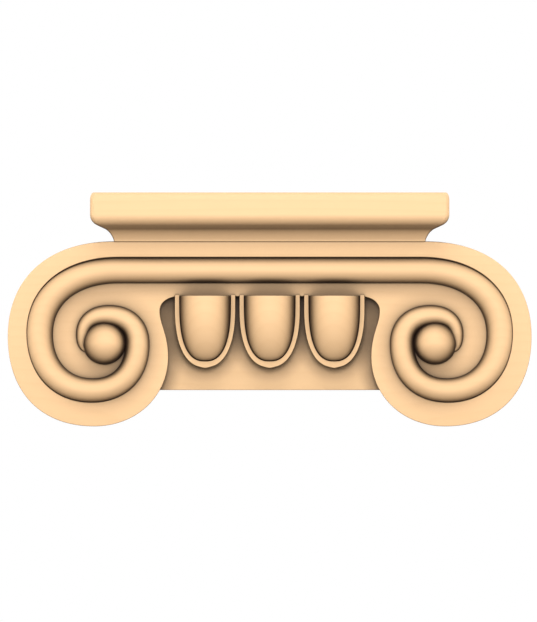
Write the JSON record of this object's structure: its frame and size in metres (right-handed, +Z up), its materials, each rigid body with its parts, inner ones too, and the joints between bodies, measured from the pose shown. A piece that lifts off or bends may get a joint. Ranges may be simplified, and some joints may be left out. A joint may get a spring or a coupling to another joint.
{
  "type": "ionic pilaster capital",
  "caption": "Flat-backed carved Ionic pilaster capital: moulded abacus on a roll that winds into a volute at each end, with framed eggs on the neck between them.",
  "frame": {"origin": "below the middle of the block, level with the undersides of the volutes on which it stands, half-way between the flat back and the front of the abacus", "axes": "+X to the right along the face, +Z up, the carved front looks along -Y and the flat back along +Y"},
  "size_m": [0.3, 0.0536, 0.134],
  "materials": {
    "carved_wood": "pale close-grained wood, carved and sanded smooth, thin matt sealer"
  },
  "bodies": {
    "root": {"capital": "carved_wood"}
  },
  "joints": []
}
